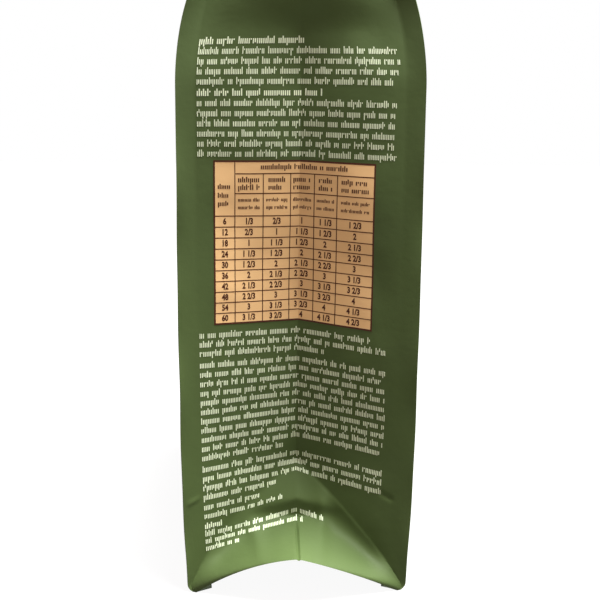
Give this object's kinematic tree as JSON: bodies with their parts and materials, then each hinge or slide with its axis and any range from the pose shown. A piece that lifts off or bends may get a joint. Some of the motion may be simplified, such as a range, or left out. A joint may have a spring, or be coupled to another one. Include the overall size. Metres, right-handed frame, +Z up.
{
  "type": "pet food bag",
  "caption": "Filled film bag standing on its base, with side gussets, four corner seals, a folded-in mitre above the floor and a flat top seal.",
  "frame": {"origin": "on the floor, under the middle of the bag's bounding box", "axes": "+Z up to the top seal, +X out of the printed side gusset, +Y towards the plain back face, across the bag's depth"},
  "size_m": [0.192, 0.089, 0.277],
  "materials": {
    "film": "satin printed film, green with a tan table"
  },
  "bodies": {
    "root": {"bag": "film"}
  },
  "joints": []
}
